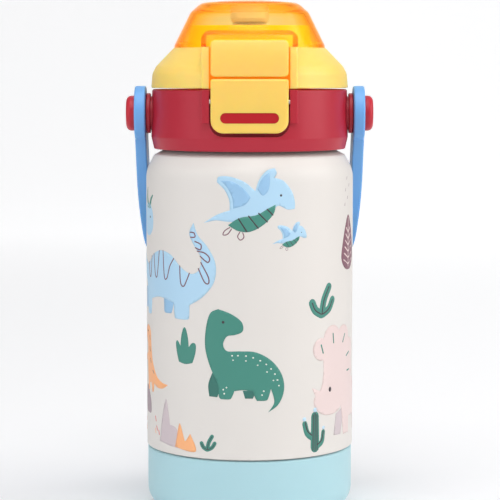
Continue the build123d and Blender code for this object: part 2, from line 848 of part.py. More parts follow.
def handle_washer():
    """The disc that keeps the strap off the collar."""
    disc = rod(WASHER_R, PAD_X, STRAP_IN - 0.1, 0, PIVOT_Z)
    disc = fillet(disc.edges().filter_by(GeomType.CIRCLE), 0.35)
    return disc - rod(STUD_R, PAD_X - 1, STRAP_IN + 1, 0, PIVOT_Z)


PARTS = {
    "outer_shell": outer_shell,
    "inner_liner": inner_liner,
    "base_disc": base_disc,
    "vacuum_getter": vacuum_getter,
    "base_boot": base_boot,
    "lid_gasket": lid_gasket,
    "lid_collar": lid_collar,
    "lid_core": lid_core,
    "mouthpiece": mouthpiece,
    "straw": straw,
    "vent_valve": vent_valve,
    "cover_ring": cover_ring,
    "cover_dome": cover_dome,
    "catch_plate": catch_plate,
    "spout_plug": spout_plug,
    "latch_button": latch_button,
    "latch_inset": latch_inset,
    "latch_pin": latch_pin,
    "latch_spring": latch_spring,
    "hinge_pin": hinge_pin,
    "cover_spring": cover_spring,
    "handle_strap": handle_strap,
}

os.makedirs("parts", exist_ok=True)
for name, make in PARTS.items():
    export_step(make(), f"parts/{name}.step")
for name, make in (("handle_knob", handle_knob), ("handle_washer", handle_washer)):
    right, left = both_sides(make())
    export_step(right, f"parts/{name}_right.step")
    export_step(left, f"parts/{name}_left.step")
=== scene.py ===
"""A child's insulated drinking bottle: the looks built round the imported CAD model.

Metres, in the CAD frame: +Z up, the latch faces -Y, the cover's hinge is at +Y.
"""

import math

import bmesh
import bpy
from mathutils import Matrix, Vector, geometry


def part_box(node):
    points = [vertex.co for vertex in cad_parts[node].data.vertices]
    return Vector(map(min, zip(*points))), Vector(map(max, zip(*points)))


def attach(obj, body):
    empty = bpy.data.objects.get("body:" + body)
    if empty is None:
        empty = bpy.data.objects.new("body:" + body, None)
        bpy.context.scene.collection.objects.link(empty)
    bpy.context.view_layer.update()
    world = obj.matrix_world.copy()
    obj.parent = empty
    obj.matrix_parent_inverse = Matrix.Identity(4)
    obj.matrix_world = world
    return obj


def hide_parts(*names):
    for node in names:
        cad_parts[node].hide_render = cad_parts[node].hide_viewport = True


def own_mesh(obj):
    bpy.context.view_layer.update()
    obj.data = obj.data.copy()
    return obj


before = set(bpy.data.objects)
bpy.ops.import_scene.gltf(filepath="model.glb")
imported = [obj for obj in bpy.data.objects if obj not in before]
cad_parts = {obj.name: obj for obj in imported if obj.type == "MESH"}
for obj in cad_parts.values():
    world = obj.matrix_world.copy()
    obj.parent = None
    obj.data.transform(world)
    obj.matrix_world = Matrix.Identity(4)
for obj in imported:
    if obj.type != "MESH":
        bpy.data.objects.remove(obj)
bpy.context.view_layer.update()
MM = 0.001

# The latch's pocket in the cover, where the plastic is painted deep orange and made to glow: half its
# width, its two heights and its back wall.
POCKET_HALF = 0.01428
POCKET_SPAN = (0.1546, 0.1723)
POCKET_BACK = -0.0300
# Above this height the cover's plastic is painted orange and made to glow.
DOME_FOOT = 0.1694
# The flask's coat fades out between these heights, inside the lid.
COAT_END = (0.1343, 0.1345)
# Painted glow: emission that stands in for the light that tinted plastic carries into the pocket and
# out at the dome's edges.
PAINTED_POCKET_GLOW = 0.35
PAINTED_EDGE_GLOW = 0.36
# The slants, from 0 face on to 1 edge on, where the dome's slanted colour begins and is full.
SLANT_RANGE = (0.25, 0.85)
# Scales that draw noise out round the vertical axis, as turning leaves rings.
TURNED_STRETCH = (0.02, 0.02, 1.0)


# ---- materials ----------------------------------------------------------------------------

class Tree:
    """One material's node tree, with short ways to add nodes and join them."""

    def __init__(self, name):
        self.material = bpy.data.materials.new(name)
        self.material.use_nodes = True
        self.nodes = self.material.node_tree.nodes
        self.links = self.material.node_tree.links
        self.shader = self.nodes["Principled BSDF"]
        self.output = self.nodes["Material Output"]
        self.place = self.nodes.new("ShaderNodeTexCoord").outputs["Object"]

    def add(self, kind, inputs=(), **settings):
        """Adds a node; inputs maps a socket's name or number to a value or to another socket."""
        node = self.nodes.new("ShaderNode" + kind)
        for name, value in settings.items():
            setattr(node, name, value)
        for socket, value in dict(inputs).items():
            self.put(node.inputs[socket], value)
        return node

    def put(self, socket, value):
        """Gives an input a plain value, or joins another node's output to it."""
        if isinstance(value, bpy.types.NodeSocket):
            self.links.new(value, socket)
        else:
            socket.default_value = value

    def set(self, **values):
        """Sets the main shader's inputs, with underscores for the spaces in their names."""
        for name, value in values.items():
            self.put(self.shader.inputs[name.replace("_", " ")], value)

    def stretched(self, x, y, z):
        """The object's coordinates, scaled along each axis."""
        return self.add("Mapping", {"Vector": self.place, "Scale": (x, y, z)}).outputs[0]

    def noise(self, size, detail=2.0, vector=None):
        """Noise whose features are about size metres across."""
        inputs = {"Vector": vector or self.place, "Scale": 1 / size, "Detail": detail}
        return self.add("TexNoise", inputs).outputs["Fac"]

    def spread(self, value, low, high, start=0.3, end=0.7):
        """Maps a value from start..end to low..high."""
        inputs = {"Value": value, "From Min": start, "From Max": end, "To Min": low, "To Max": high}
        return self.add("MapRange", inputs).outputs["Result"]

    def mix(self, share, first, second):
        """A colour mixed from two by share."""
        node = self.add("Mix", data_type="RGBA")
        self.put(node.inputs[0], share)
        self.put(node.inputs[6], first)
        self.put(node.inputs[7], second)
        return node.outputs[2]

    def between(self, value, low, high):
        """1 where a value lies between two limits, else 0."""
        above = self.add("Math", {0: value, 1: low}, operation="GREATER_THAN").outputs[0]
        below = self.add("Math", {0: value, 1: high}, operation="LESS_THAN").outputs[0]
        return self.both(above, below)

    def both(self, first, second):
        """The product of two shares."""
        return self.add("Math", {0: first, 1: second}, operation="MULTIPLY").outputs[0]

    def in_pocket(self):
        """1 in the pocket that the latch's two plates lie in, else 0."""
        place = self.add("SeparateXYZ", {0: self.place})
        wide = self.between(place.outputs["X"], -POCKET_HALF, POCKET_HALF)
        tall = self.between(place.outputs["Z"], *POCKET_SPAN)
        front = self.between(place.outputs["Y"], -1.0, POCKET_BACK)
        return self.both(self.both(wide, tall), front)

    def under_dome(self):
        """1 above the dome's foot, else 0."""
        height = self.add("SeparateXYZ", {0: self.place}).outputs["Z"]
        return self.between(height, DOME_FOOT, 1.0)

    def bump(self, height, depth, under=None):
        """A normal for a height from 0 to 1 that stands for depth metres."""
        node = self.add("Bump", {"Height": height, "Distance": depth, "Strength": 1.0})
        if under is not None:
            self.put(node.inputs["Normal"], under)
        return node.outputs["Normal"]

    def drifting(self, colour, size, drift):
        """A colour that drifts lighter and darker by the share drift, over size metres."""
        return self.mix(self.noise(size), shaded(colour, 1 - drift), shaded(colour, 1 + drift))

    def uneven(self, middle, play, size):
        """A value that wanders by play round its middle, over size metres."""
        return self.spread(self.noise(size, 3.0), middle - play, middle + play)

    def orange_peel(self):
        """The soft waves of cured powder coat, as a normal."""
        return self.bump(self.noise(0.0022, 1.0), 0.012 * MM)


def linear(red, green, blue):
    """A colour given as 0 to 255 display values, as the linear colour that shaders take."""
    def one(value):
        value /= 255
        return value / 12.92 if value <= 0.04045 else ((value + 0.055) / 1.055) ** 2.4
    return (one(red), one(green), one(blue), 1.0)


def shaded(colour, factor):
    """A colour made lighter or darker, with its alpha kept."""
    return tuple(min(1.0, part * factor) for part in colour[:3]) + (1.0,)


def moulded(name, colour, roughness, depth=0.006, glow=0.0, gloss=0.5, pocket=None):
    """Moulded plastic: slow drift of colour, uneven gloss, and a fine spark-eroded grain of
    depth millimetres. glow is the share of light that goes through thin walls. pocket holds the
    painted colours of the latch's pocket and of the inside under the dome, which are also made
    to glow: painted shade and glow that stand in for light carried through the plastic."""
    tree = Tree(name)
    surface = tree.drifting(colour, 0.022, 0.03)
    # Painted shade and glow: the pocket and the inside under the dome take deep orange colours and
    # glow in them, standing in for light carried through the plastic.
    if pocket:
        inside, under = tree.in_pocket(), tree.under_dome()
        painted_pocket_colour = tree.mix(under, *pocket)
        share = tree.add("Math", {0: inside, 1: under}, operation="MAXIMUM").outputs[0]
        surface = tree.mix(share, surface, painted_pocket_colour)
        tree.set(Emission_Color=painted_pocket_colour, Emission_Strength=tree.both(share, PAINTED_POCKET_GLOW))
    tree.set(Base_Color=surface, Specular_IOR_Level=gloss, IOR=1.49)
    tree.set(Roughness=tree.uneven(roughness, 0.04, 0.006))
    waves = tree.bump(tree.noise(0.009, 1.0), 0.02 * MM)
    tree.set(Normal=tree.bump(tree.noise(0.45 * MM, 1.0), depth * MM, waves))
    if glow:
        tree.set(Subsurface_Weight=glow, Subsurface_Scale=0.004)
        tree.shader.inputs["Subsurface Radius"].default_value = (1.0, 0.45, 0.12)
    return tree.material


def powder_coat(name, colour):
    """A satin powder coat: the soft orange peel of cured powder over fine grit. It stops under
    the lid, where the neck is bare steel."""
    tree = Tree(name)
    height = tree.add("SeparateXYZ", {0: tree.place}).outputs["Z"]
    bare = tree.spread(height, 0.0, 1.0, *COAT_END)
    coat = tree.drifting(colour, 0.03, 0.015)
    tree.set(Base_Color=tree.mix(bare, coat, (0.60, 0.59, 0.57, 1.0)), Metallic=bare, IOR=1.5)
    turned = tree.noise(0.0004, 2.0, tree.stretched(*TURNED_STRETCH))
    rough = tree.add("Mix", data_type="FLOAT")
    tree.put(rough.inputs[0], bare)
    tree.put(rough.inputs[2], tree.uneven(0.45, 0.05, 0.004))
    tree.put(rough.inputs[3], tree.spread(turned, 0.20, 0.34))
    grit = tree.bump(tree.noise(0.0005, 1.0), 0.006 * MM, tree.orange_peel())
    tree.set(Roughness=rough.outputs[0], Normal=grit)
    return tree.material


def ink_paint(name, colour):
    """Printed ink: flat colour with a little drift, over the coat's own orange peel."""
    tree = Tree(name)
    tree.set(Base_Color=tree.drifting(colour, 0.012, 0.02), IOR=1.5)
    tree.set(Roughness=tree.uneven(0.43, 0.05, 0.004), Normal=tree.orange_peel())
    return tree.material


def turned_steel(name):
    """Stainless steel with the fine rings that turning and polishing leave round its axis."""
    tree = Tree(name)
    lines = tree.noise(0.0005, 3.0, tree.stretched(*TURNED_STRETCH))
    shade = tree.mix(tree.noise(0.02), (0.52, 0.51, 0.49, 1.0), (0.62, 0.61, 0.59, 1.0))
    tree.set(Base_Color=shade, Metallic=1.0, Roughness=tree.spread(lines, 0.20, 0.34))
    tree.set(Normal=tree.bump(lines, 0.003 * MM))
    return tree.material


def silicone(name, colour, roughness, clear=0.0):
    """Moulded silicone: matte, a little light inside it, and a soft sheen at grazing angles."""
    tree = Tree(name)
    tree.set(Base_Color=tree.drifting(colour, 0.03, 0.025), IOR=1.41, Transmission_Weight=clear)
    tree.set(Roughness=tree.uneven(roughness, 0.05, 0.005))
    tree.set(Subsurface_Weight=0.25, Subsurface_Scale=0.002, Sheen_Weight=0.12, Sheen_Roughness=0.4)
    tree.shader.inputs["Subsurface Radius"].default_value = (0.8, 0.9, 1.0)
    tree.set(Normal=tree.bump(tree.noise(0.0006, 1.0), 0.008 * MM))
    return tree.material


def tinted_clear(name, surface, slanted, edge, body, density):
    """Clear tinted plastic. The surface takes a little colour, and takes the slanted colour
    where it is seen at a slant, where a painted glow in the edge colour stands in for light
    piped through the walls; the body colour and density, over the thickness, take the rest.
    Lamps shine through it."""
    tree = Tree(name)
    facing = tree.add("LayerWeight", {"Blend": 0.5}).outputs["Facing"]
    slant = tree.spread(facing, 0.0, 1.0, *SLANT_RANGE)
    tree.set(Base_Color=tree.mix(slant, surface, slanted), Transmission_Weight=1.0, IOR=1.22)
    # Painted glow: the edge colour is emitted where the dome is seen at a slant.
    tree.set(Emission_Color=edge, Emission_Strength=tree.both(slant, PAINTED_EDGE_GLOW))
    tree.set(Roughness=tree.spread(tree.noise(0.006), 0.12, 0.15))
    tree.set(Normal=tree.bump(tree.noise(0.008, 1.0), 0.02 * MM))
    open_to_lamps = tree.add("BsdfTransparent", {"Color": shaded(surface, 0.97)})
    path = tree.add("LightPath")
    mix = tree.add("MixShader")
    tree.put(mix.inputs[0], path.outputs["Is Shadow Ray"])
    tree.put(mix.inputs[1], tree.shader.outputs[0])
    tree.put(mix.inputs[2], open_to_lamps.outputs[0])
    tree.put(tree.output.inputs["Surface"], mix.outputs[0])
    depth = tree.add("VolumeAbsorption", {"Color": body, "Density": density})
    tree.put(tree.output.inputs["Volume"], depth.outputs[0])
    return tree.material


PAINTS = {
    "cream_coat": powder_coat("cream_powder_coat", linear(222, 217, 212)),
    "bare_steel": turned_steel("turned_steel"),
    "boot_silicone": silicone("boot_silicone_blue", linear(175, 212, 220), 0.55),
    "collar_red": moulded("collar_red_plastic", linear(178, 35, 54), 0.36, glow=0.03, gloss=0.35),
    "core_white": moulded("core_white_plastic", linear(240, 238, 232), 0.35),
    "soft_silicone": silicone("soft_clear_silicone", linear(248, 246, 242), 0.35, clear=0.35),
    "straw_clear": silicone("straw_plastic", linear(242, 244, 244), 0.25, clear=0.6),
    "cover_yellow": moulded(
        "cover_yellow_plastic", linear(255, 212, 112), 0.40, glow=0.6, gloss=0.4,
        # Painted colours, also glowing, for the latch's pocket and for the inside under the dome.
        pocket=((1.0, 0.33, 0.0, 1.0), (1.0, 0.58, 0.0, 1.0)),
    ),
    "cover_amber": tinted_clear(
        "dome_amber_plastic", surface=(1.0, 0.98, 0.92, 1.0), slanted=(0.92, 0.52, 0.01, 1.0),
        # edge is the colour of the painted glow at the dome's slanted edges.
        edge=(1.0, 0.30, 0.0, 1.0), body=(1.0, 0.80, 0.16, 1.0), density=430.0,
    ),
    "plate_yellow": moulded("plate_yellow_plastic", linear(248, 204, 98), 0.36, glow=0.5),
    "inset_red": moulded("inset_red_rubber", linear(180, 16, 30), 0.6, depth=0.01, gloss=0.3),
    "strap_blue": moulded("strap_blue_plastic", linear(108, 170, 232), 0.42, glow=0.1),
    "knob_red": moulded("knob_red_plastic", linear(190, 38, 54), 0.36, glow=0.03, gloss=0.35),
}


def paint_cad():
    """Gives every carried-over CAD node its material, by its slot's material name."""
    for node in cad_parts.values():
        for slot in node.material_slots:
            slot.material = PAINTS[slot.material.name.split(".")[0]]


def add_object(name, work, material):
    """Makes an object of a mesh that was built in bmesh, and frees the working copy."""
    mesh = bpy.data.meshes.new(name)
    work.to_mesh(mesh)
    work.free()
    mesh.materials.append(material)
    piece = bpy.data.objects.new(name, mesh)
    bpy.context.scene.collection.objects.link(piece)
    return piece


# ---- printed motifs -------------------------------------------------------------------------
# Drawn flat in millimetres: u runs round the flask from the front's middle towards +X, and v is
# up. Each ink is a thin closed skin wrapped on the flask, laid over the inks below it.

INK_THICKNESS = 0.03
DRAWING_GRID = 1.2
WELD_GAP = 1e-4
SKIN_EDGE = math.radians(40)
# The triangulation's way of keeping only what lies inside the outlines.
INSIDE_ONLY = 1
INKS = {
    "light_blue": linear(176, 212, 236),
    "mid_blue": linear(150, 192, 226),
    "green": linear(64, 136, 122),
    "deep_green": linear(50, 112, 102),
    "charcoal": linear(62, 54, 60),
    "maroon": linear(128, 84, 98),
    "orange": linear(248, 178, 124),
    "mauve": linear(204, 190, 194),
    "dark_mauve": linear(160, 140, 148),
    "pink": linear(228, 208, 205),
    "pale_speck": linear(226, 232, 222),
    "ice_blue": linear(198, 226, 246),
    "red": linear(226, 96, 92),
}


def smooth_line(points, steps=7):
    """A Catmull-Rom line through points, with its ends kept."""
    padded = [points[0], *points, points[-1]]
    line = []
    for before, start, end, after in zip(padded, padded[1:], padded[2:], padded[3:]):
        for step in range(steps):
            t = step / steps
            line.append(tuple(
                start[k] + 0.5 * t * (
                    end[k] - before[k]
                    + t * (2 * before[k] - 5 * start[k] + 4 * end[k] - after[k]
                           + t * (3 * (start[k] - end[k]) + after[k] - before[k]))
                )
                for k in (0, 1)
            ))
    return line + [points[-1]]


def shape(*stretches):
    """A closed outline of smooth stretches that meet at corners. Each stretch starts where the
    last one ended, and the last one ends at the first point."""
    corner = first = stretches[0][0]
    loop = []
    for stretch in [stretches[0][1:], *stretches[1:-1], [*stretches[-1], first]]:
        loop += smooth_line([corner, *stretch])[:-1]
        corner = stretch[-1]
    return loop


def stroke(points, width, taper=0.0):
    """A round-ended ribbon along a smooth line. taper takes that share off its width at the end."""
    line = smooth_line(points) if len(points) > 2 else [tuple(p) for p in points]
    left, right = [], []
    for number, (u, v) in enumerate(line):
        ahead = line[min(number + 1, len(line) - 1)]
        behind = line[max(number - 1, 0)]
        along = math.hypot(ahead[0] - behind[0], ahead[1] - behind[1]) or 1.0
        half = width / 2 * (1 - taper * number / (len(line) - 1))
        side_u, side_v = -(ahead[1] - behind[1]) / along * half, (ahead[0] - behind[0]) / along * half
        left.append((u + side_u, v + side_v))
        right.append((u - side_u, v - side_v))
    return left + end_cap(line[-1], left[-1]) + right[::-1] + end_cap(line[0], right[0])


def end_cap(centre, start, steps=5):
    """Half a circle of points round centre, clockwise from start, without its two ends."""
    radius = math.dist(centre, start)
    angle = math.atan2(start[1] - centre[1], start[0] - centre[0])
    turns = [angle - math.pi * step / steps for step in range(1, steps)]
    return [(centre[0] + radius * math.cos(t), centre[1] + radius * math.sin(t)) for t in turns]


def dot(u, v, radius, stretch=1.0):
    """A small round mark, stretched upwards."""
    steps = max(12, round(7 * radius))
    turns = [2 * math.pi * step / steps for step in range(steps)]
    return [(u + radius * math.cos(t), v + radius * stretch * math.sin(t)) for t in turns]


def flyer():
    """A flying reptile with raised wings, a crest and a striped belly."""
    body = shape(
        [(-16.6, -8.6), (-11.6, -5.6), (-7.0, -4.0)],
        [(-7.2, -0.4), (-8.9, 3.2), (-11.6, 5.8)],
        [(-11.0, 7.7), (-7.0, 7.8), (-1.8, 6.0), (2.0, 2.8)],
        [(3.4, 6.8), (6.0, 9.9), (8.8, 10.8)],
        [(9.6, 9.2), (8.8, 7.4)],
        [(12.2, 6.2), (15.2, 2.6), (16.4, -1.0), (16.4, -3.6)],
        [(13.6, -3.8), (10.4, -2.4), (8.4, -3.6), (3.4, -6.6), (-2.6, -8.0)],
        [(-7.6, -8.0), (-12.0, -7.6)],
    )
    left_wing = shape(
        [(-10.2, 6.4), (-6.4, 6.2), (-2.4, 4.0), (0.4, 0.6)],
        [(-1.6, -2.0), (-5.8, -3.4)],
        [(-6.1, 0.4), (-7.8, 3.8)],
    )
    right_wing = shape([(2.8, 3.4), (4.2, 7.0), (7.0, 9.4)], [(7.2, 6.4), (6.6, 3.0), (4.6, 1.2)])
    belly = shape(
        [(-7.6, -9.2), (-3.4, -6.6), (2.4, -5.6), (6.4, -3.4), (9.2, -2.0)],
        [(8.6, -5.0), (5.2, -8.8), (0.4, -11.4), (-4.0, -11.2)],
    )
    stripes = [((-3.9, -6.9), (-1.0, -11.4)), ((-0.3, -6.0), (3.0, -10.2)),
               ((3.2, -5.0), (6.2, -8.0)), ((6.2, -3.6), (8.2, -5.6))]
    feet = [((-7.0, -10.0), (-8.8, -11.2), (-9.4, -12.6), (-7.8, -12.4), (-6.4, -10.6)),
            ((-3.4, -11.6), (-4.2, -13.2), (-3.2, -14.4), (-2.0, -13.4), (-2.4, -11.8))]
    return (
        [("light_blue", 0, body), ("mid_blue", 1, left_wing), ("mid_blue", 1, right_wing)]
        + [("green", 1, belly), ("charcoal", 1, dot(11.2, 1.2, 0.42))]
        + [("charcoal", 2, stroke(line, 0.46)) for line in stripes]
        + [("maroon", 0, stroke(line, 0.34)) for line in feet]
    )


def spiny():
    """A long-bodied animal with a raised tail and tall plates outlined along its back."""
    body = shape(
        [(12.6, 34.6), (10.8, 30.8), (12.8, 26.6), (15.6, 22.4), (14.8, 18.0), (11.4, 16.4),
         (6.8, 18.6), (1.8, 22.6), (-4.2, 23.8), (-10.2, 22.0), (-15.6, 18.4), (-20.4, 19.2),
         (-24.6, 21.4), (-28.6, 19.6), (-28.4, 16.0), (-24.0, 14.2), (-19.4, 12.0),
         (-17.4, 7.4)],
        [(-16.8, 0.8), (-15.8, 0.0), (-13.4, 0.0), (-12.6, 1.0), (-12.0, 5.8)],
        [(-4.8, 7.0), (3.2, 5.6)],
        [(3.8, 0.8), (4.8, 0.0), (9.6, 0.0), (10.6, 1.0), (10.8, 5.2)],
        [(16.2, 8.4), (20.6, 13.8), (21.2, 20.4), (18.2, 26.2), (14.4, 30.2)],
    )
    hind_legs = [
        shape([(-20.2, 9.6), (-20.6, 3.4)], [(-20.4, 2.0), (-17.8, 2.0)], [(-17.0, 8.6)]),
        shape([(-2.4, 7.4), (-2.2, 2.4)], [(-1.4, 1.6), (1.4, 1.6)], [(2.4, 2.4), (3.0, 7.2)]),
    ]
    plates = [
        ((-15.2, 18.8), (-14.4, 14.2), (-13.0, 14.2), (-11.8, 21.2)),
        ((-9.8, 22.2), (-8.6, 14.8), (-7.0, 14.8), (-5.4, 23.6)),
        ((-2.8, 23.8), (-2.0, 14.6), (-0.4, 14.2), (1.2, 18.4), (3.4, 21.4)),
        ((6.4, 18.9), (6.8, 13.0), (8.2, 11.8), (9.4, 13.6), (10.8, 16.6)),
        ((14.6, 18.4), (17.0, 13.8), (18.6, 13.4), (18.4, 15.8), (15.6, 20.6)),
        ((15.4, 22.8), (18.2, 20.8), (19.0, 22.2), (17.2, 24.0), (14.2, 24.6)),
        ((13.4, 25.8), (15.4, 25.2), (15.6, 27.0), (13.2, 28.0)),
        ((11.4, 29.4), (13.2, 29.6), (12.8, 31.0), (11.2, 31.2)),
    ]
    return (
        [("mid_blue", 0, leg) for leg in hind_legs]
        + [("light_blue", 1, body), ("charcoal", 2, dot(-25.2, 18.4, 0.45))]
        + [("maroon", 2, stroke(line, 0.44)) for line in plates]
    )


def long_neck():
    """A grazing animal with a long raised neck, speckled along its back."""
    body = shape(
        [(-9.4, 36.0), (-4.8, 34.4), (-1.0, 31.6), (-0.6, 28.4), (-3.2, 27.0), (-6.2, 26.4),
         (-7.6, 23.6), (-6.2, 21.2), (-1.6, 21.2), (4.2, 20.8), (9.8, 17.6), (13.4, 12.6),
         (14.2, 7.2), (12.2, 2.2), (8.4, -0.6)],
        [(10.6, 3.0), (9.4, 7.8)],
        [(8.4, 4.4), (7.4, 3.6), (4.4, 3.6)],
        [(3.8, 4.6), (3.0, 7.0)],
        [(-0.4, 7.4), (-3.6, 7.0)],
        [(-4.6, 4.6), (-5.6, 4.0), (-8.4, 4.0)],
        [(-9.2, 5.0), (-9.6, 9.2), (-12.6, 15.6), (-14.4, 22.4), (-14.0, 29.4), (-12.4, 34.4)],
    )
    legs = [
        shape([(-11.6, 13.4), (-13.2, 9.0), (-12.8, 4.8)], [(-9.8, 4.6)], [(-9.0, 8.0)]),
        shape([(-0.6, 7.2), (0.2, 4.4)], [(3.0, 4.4)], [(3.6, 7.0)]),
    ]
    back = smooth_line([(-4.4, 19.6), (1.4, 19.4), (7.0, 17.0), (10.8, 13.0), (12.4, 8.4)])
    specks = [dot(u, v, 0.34, 0.8) for u, v in back[::3]]
    specks += [dot(u - 0.9, v - 1.6, 0.3, 0.8) for u, v in back[2:24:5]]
    on_legs = ((-7.6, 7.4), (-7.2, 6.0), (-6.4, 8.2), (6.8, 7.0), (6.2, 5.6))
    specks += [dot(u, v, 0.3) for u, v in on_legs]
    return (
        [("deep_green", 0, leg) for leg in legs]
        + [("green", 1, body), ("charcoal", 2, dot(-7.6, 31.4, 0.5))]
        + [("pale_speck", 2, speck) for speck in specks]
    )


def upright():
    """A slender two-legged animal with short marks down its back."""
    body = shape(
        [(-9.8, 18.2), (-9.4, 20.8), (-5.8, 22.4), (-2.6, 20.6), (-1.8, 15.6), (-0.4, 10.0),
         (3.2, 5.0), (7.2, 2.8), (11.4, 2.2)],
        [(8.2, 0.6), (4.4, 0.4), (1.4, 1.6)],
        [(0.8, -1.4), (-0.8, -1.8)],
        [(-1.8, 1.4), (-3.6, 1.2)],
        [(-4.0, -1.2), (-5.8, -1.4)],
        [(-6.4, 3.6), (-7.2, 9.4), (-6.6, 14.0), (-7.8, 16.4)],
    )
    arm = stroke([(-6.4, 11.6), (-8.6, 10.6), (-9.0, 9.4)], 1.2)
    marks = [((-3.6, 18.6), (-3.2, 17.0)), ((-3.4, 14.4), (-2.9, 12.8)),
             ((-2.8, 10.2), (-2.0, 8.8)), ((0.0, 6.2), (1.2, 5.2))]
    return (
        [("orange", 0, body), ("orange", 0, arm), ("charcoal", 1, dot(-6.6, 20.0, 0.4))]
        + [("maroon", 1, stroke(line, 0.34)) for line in marks]
    )


def frilled():
    """A pale horned animal, with a lobed frill and small leaf marks on it."""
    lobes = [(-10.6, 33.2, 4.2), (-4.4, 36.4, 5.2), (3.4, 36.0, 5.0), (8.8, 31.0, 4.8),
             (8.6, 24.0, 4.8), (-1.0, 29.0, 7.4)]
    head = shape(
        [(-8.8, 31.0), (-9.6, 24.6), (-10.8, 19.0), (-14.2, 15.4), (-13.6, 11.8), (-9.6, 9.0),
         (-3.4, 8.8), (1.8, 11.4), (6.8, 18.4), (6.2, 28.0), (0.0, 32.2)],
    )
    horn = shape([(-12.8, 14.4), (-15.2, 19.4)], [(-10.6, 17.2)])
    body = shape(
        [(0.0, 16.0), (6.0, 20.6), (14.0, 20.4), (21.0, 15.6), (23.2, 8.6)],
        [(22.6, 0.0)], [(17.0, 0.0)], [(16.4, 5.4), (9.0, 6.0)],
        [(8.8, 0.0)], [(3.4, 0.0)], [(2.0, 8.2)],
    )
    leg = shape([(-2.2, 8.4), (-3.6, 0.6)], [(1.2, 0.4)], [(3.2, 9.6)])
    marks = [((-10.8, 34.8), (-9.8, 31.8)), ((-4.2, 38.4), (-3.8, 35.0)),
             ((4.6, 37.4), (2.8, 34.6)), ((9.0, 30.2), (6.2, 29.0)), ((9.6, 23.6), (7.0, 23.4))]
    skin = [dot(*lobe) for lobe in lobes]
    return (
        [("mauve", 0, leg)]
        + [("pink", 1, outline) for outline in skin + [head, horn, body]]
        + [("charcoal", 2, dot(-6.0, 18.0, 0.75, 1.25))]
        + [("green", 2, stroke(line, 0.55)) for line in marks]
    )


def bush():
    """A low three-lobed bush."""
    outline = shape(
        [(-3.0, 0.4), (-4.0, 4.0), (-4.4, 7.0), (-3.6, 8.0), (-2.2, 6.2)],
        [(-1.8, 9.6), (-0.8, 12.6), (0.2, 12.6), (1.2, 9.6), (1.6, 6.0)],
        [(3.2, 7.6), (4.6, 7.0), (4.4, 3.8), (3.2, 0.4)],
        [(0.0, -0.2)],
    )
    return [("green", 0, outline)]


def sprig():
    """Three rounded fingers from one foot, each with a dark vein."""
    fingers = [([(0.0, 1.2), (-2.8, 2.8), (-4.2, 5.4)], 3.1),
               ([(0.4, 1.2), (1.4, 6.2), (4.0, 10.8)], 2.9),
               ([(0.8, 1.2), (4.0, 2.9), (6.0, 6.0)], 2.8)]
    return (
        [("green", 0, stroke(points, width)) for points, width in fingers]
        + [("charcoal", 1, stroke(points, 0.46)) for points, _ in fingers]
    )


def cactus():
    """A ribbed cactus with two arms and pale tips."""
    trunk = stroke([(0.0, 1.9), (0.0, 13.6)], 4.2, 0.12)
    left = stroke([(-0.8, 5.4), (-3.6, 7.4), (-4.8, 11.2)], 2.6, 0.15)
    right = stroke([(0.8, 2.0), (3.4, 3.6), (4.2, 7.2)], 2.3, 0.15)
    ribs = [((-1.0, 0.8), (-0.9, 14.2)), ((0.0, 0.4), (0.0, 15.0)), ((1.0, 0.8), (0.9, 14.2)),
            ((-1.6, 6.6), (-3.6, 8.4), (-4.6, 11.6)), ((1.4, 2.8), (3.3, 4.2), (4.2, 7.4))]
    tips = [dot(0.0, 16.0, 0.9), dot(-5.0, 12.9, 0.8), dot(4.3, 8.8, 0.7)]
    return (
        [("green", 0, arm) for arm in (trunk, left, right)]
        + [("charcoal", 1, stroke(line, 0.46)) for line in ribs]
        + [("ice_blue", 1, tip) for tip in tips]
    )


def peaks():
    """A tall mauve peak, two low orange ones in front of it, and a few embers beside them."""
    tall = shape([(-8.4, 0.6), (-7.2, 8.0), (-5.2, 15.0)], [(-4.4, 16.6)],
                 [(-3.6, 15.0), (-2.0, 7.4)], [(1.0, 6.8), (3.2, 4.2)], [(3.4, -0.4)])
    low = shape([(0.8, -0.2), (2.6, 7.6)], [(3.1, 8.6)], [(3.8, 7.4), (5.4, 2.6)],
                [(6.0, 2.6), (7.6, 4.8)], [(8.2, 4.8), (10.2, -1.0)])
    embers = [((-12.2, 9.0), (-11.6, 7.4)), ((-11.2, 5.6), (-10.4, 4.2)), ((-9.4, 4.2), (-9.0, 2.8))]
    return (
        [("mauve", 0, tall), ("orange", 1, low)]
        + [("red", 0, stroke(line, 0.45)) for line in embers]
        + [("orange", 0, stroke(((-12.4, 4.6), (-11.8, 3.0)), 0.4))]
    )


def stone():
    """A dark standing stone."""
    outline = shape(
        [(-3.4, 0.0), (-4.4, 4.4), (-2.4, 8.0), (0.6, 6.2), (2.6, 2.6), (2.0, -0.4)],
    )
    return [("dark_mauve", 0, outline)]


def leaf():
    """A tall striped leaf, with loose marks above it."""
    blade = shape([(0.0, 19.6), (-3.0, 15.4), (-5.4, 9.0), (-6.2, 3.8), (-3.0, 0.2), (2.4, 0.0),
                   (6.2, 3.8), (6.0, 9.0), (3.4, 15.4)])
    rungs = [3.4 + 2.3 * step for step in range(6)]
    veins = [stroke(((-0.1, v - 1.8), (-5.0 + 0.2 * v, v)), 0.5) for v in rungs]
    veins += [stroke(((0.1, v - 1.8), (5.2 - 0.2 * v, v)), 0.5) for v in rungs]
    marks = [stroke(((u, v), (u + 0.3, v + 0.9)), 0.3) for u, v in
             ((-3.6, 23.0), (-1.0, 25.4), (-3.0, 28.2), (0.6, 29.8), (-1.8, 32.4))]
    return (
        [("maroon", 0, blade), ("pink", 1, stroke(((0.0, 0.8), (0.0, 18.4)), 0.4))]
        + [("pink", 1, vein) for vein in veins]
        + [("dark_mauve", 0, mark) for mark in marks]
    )


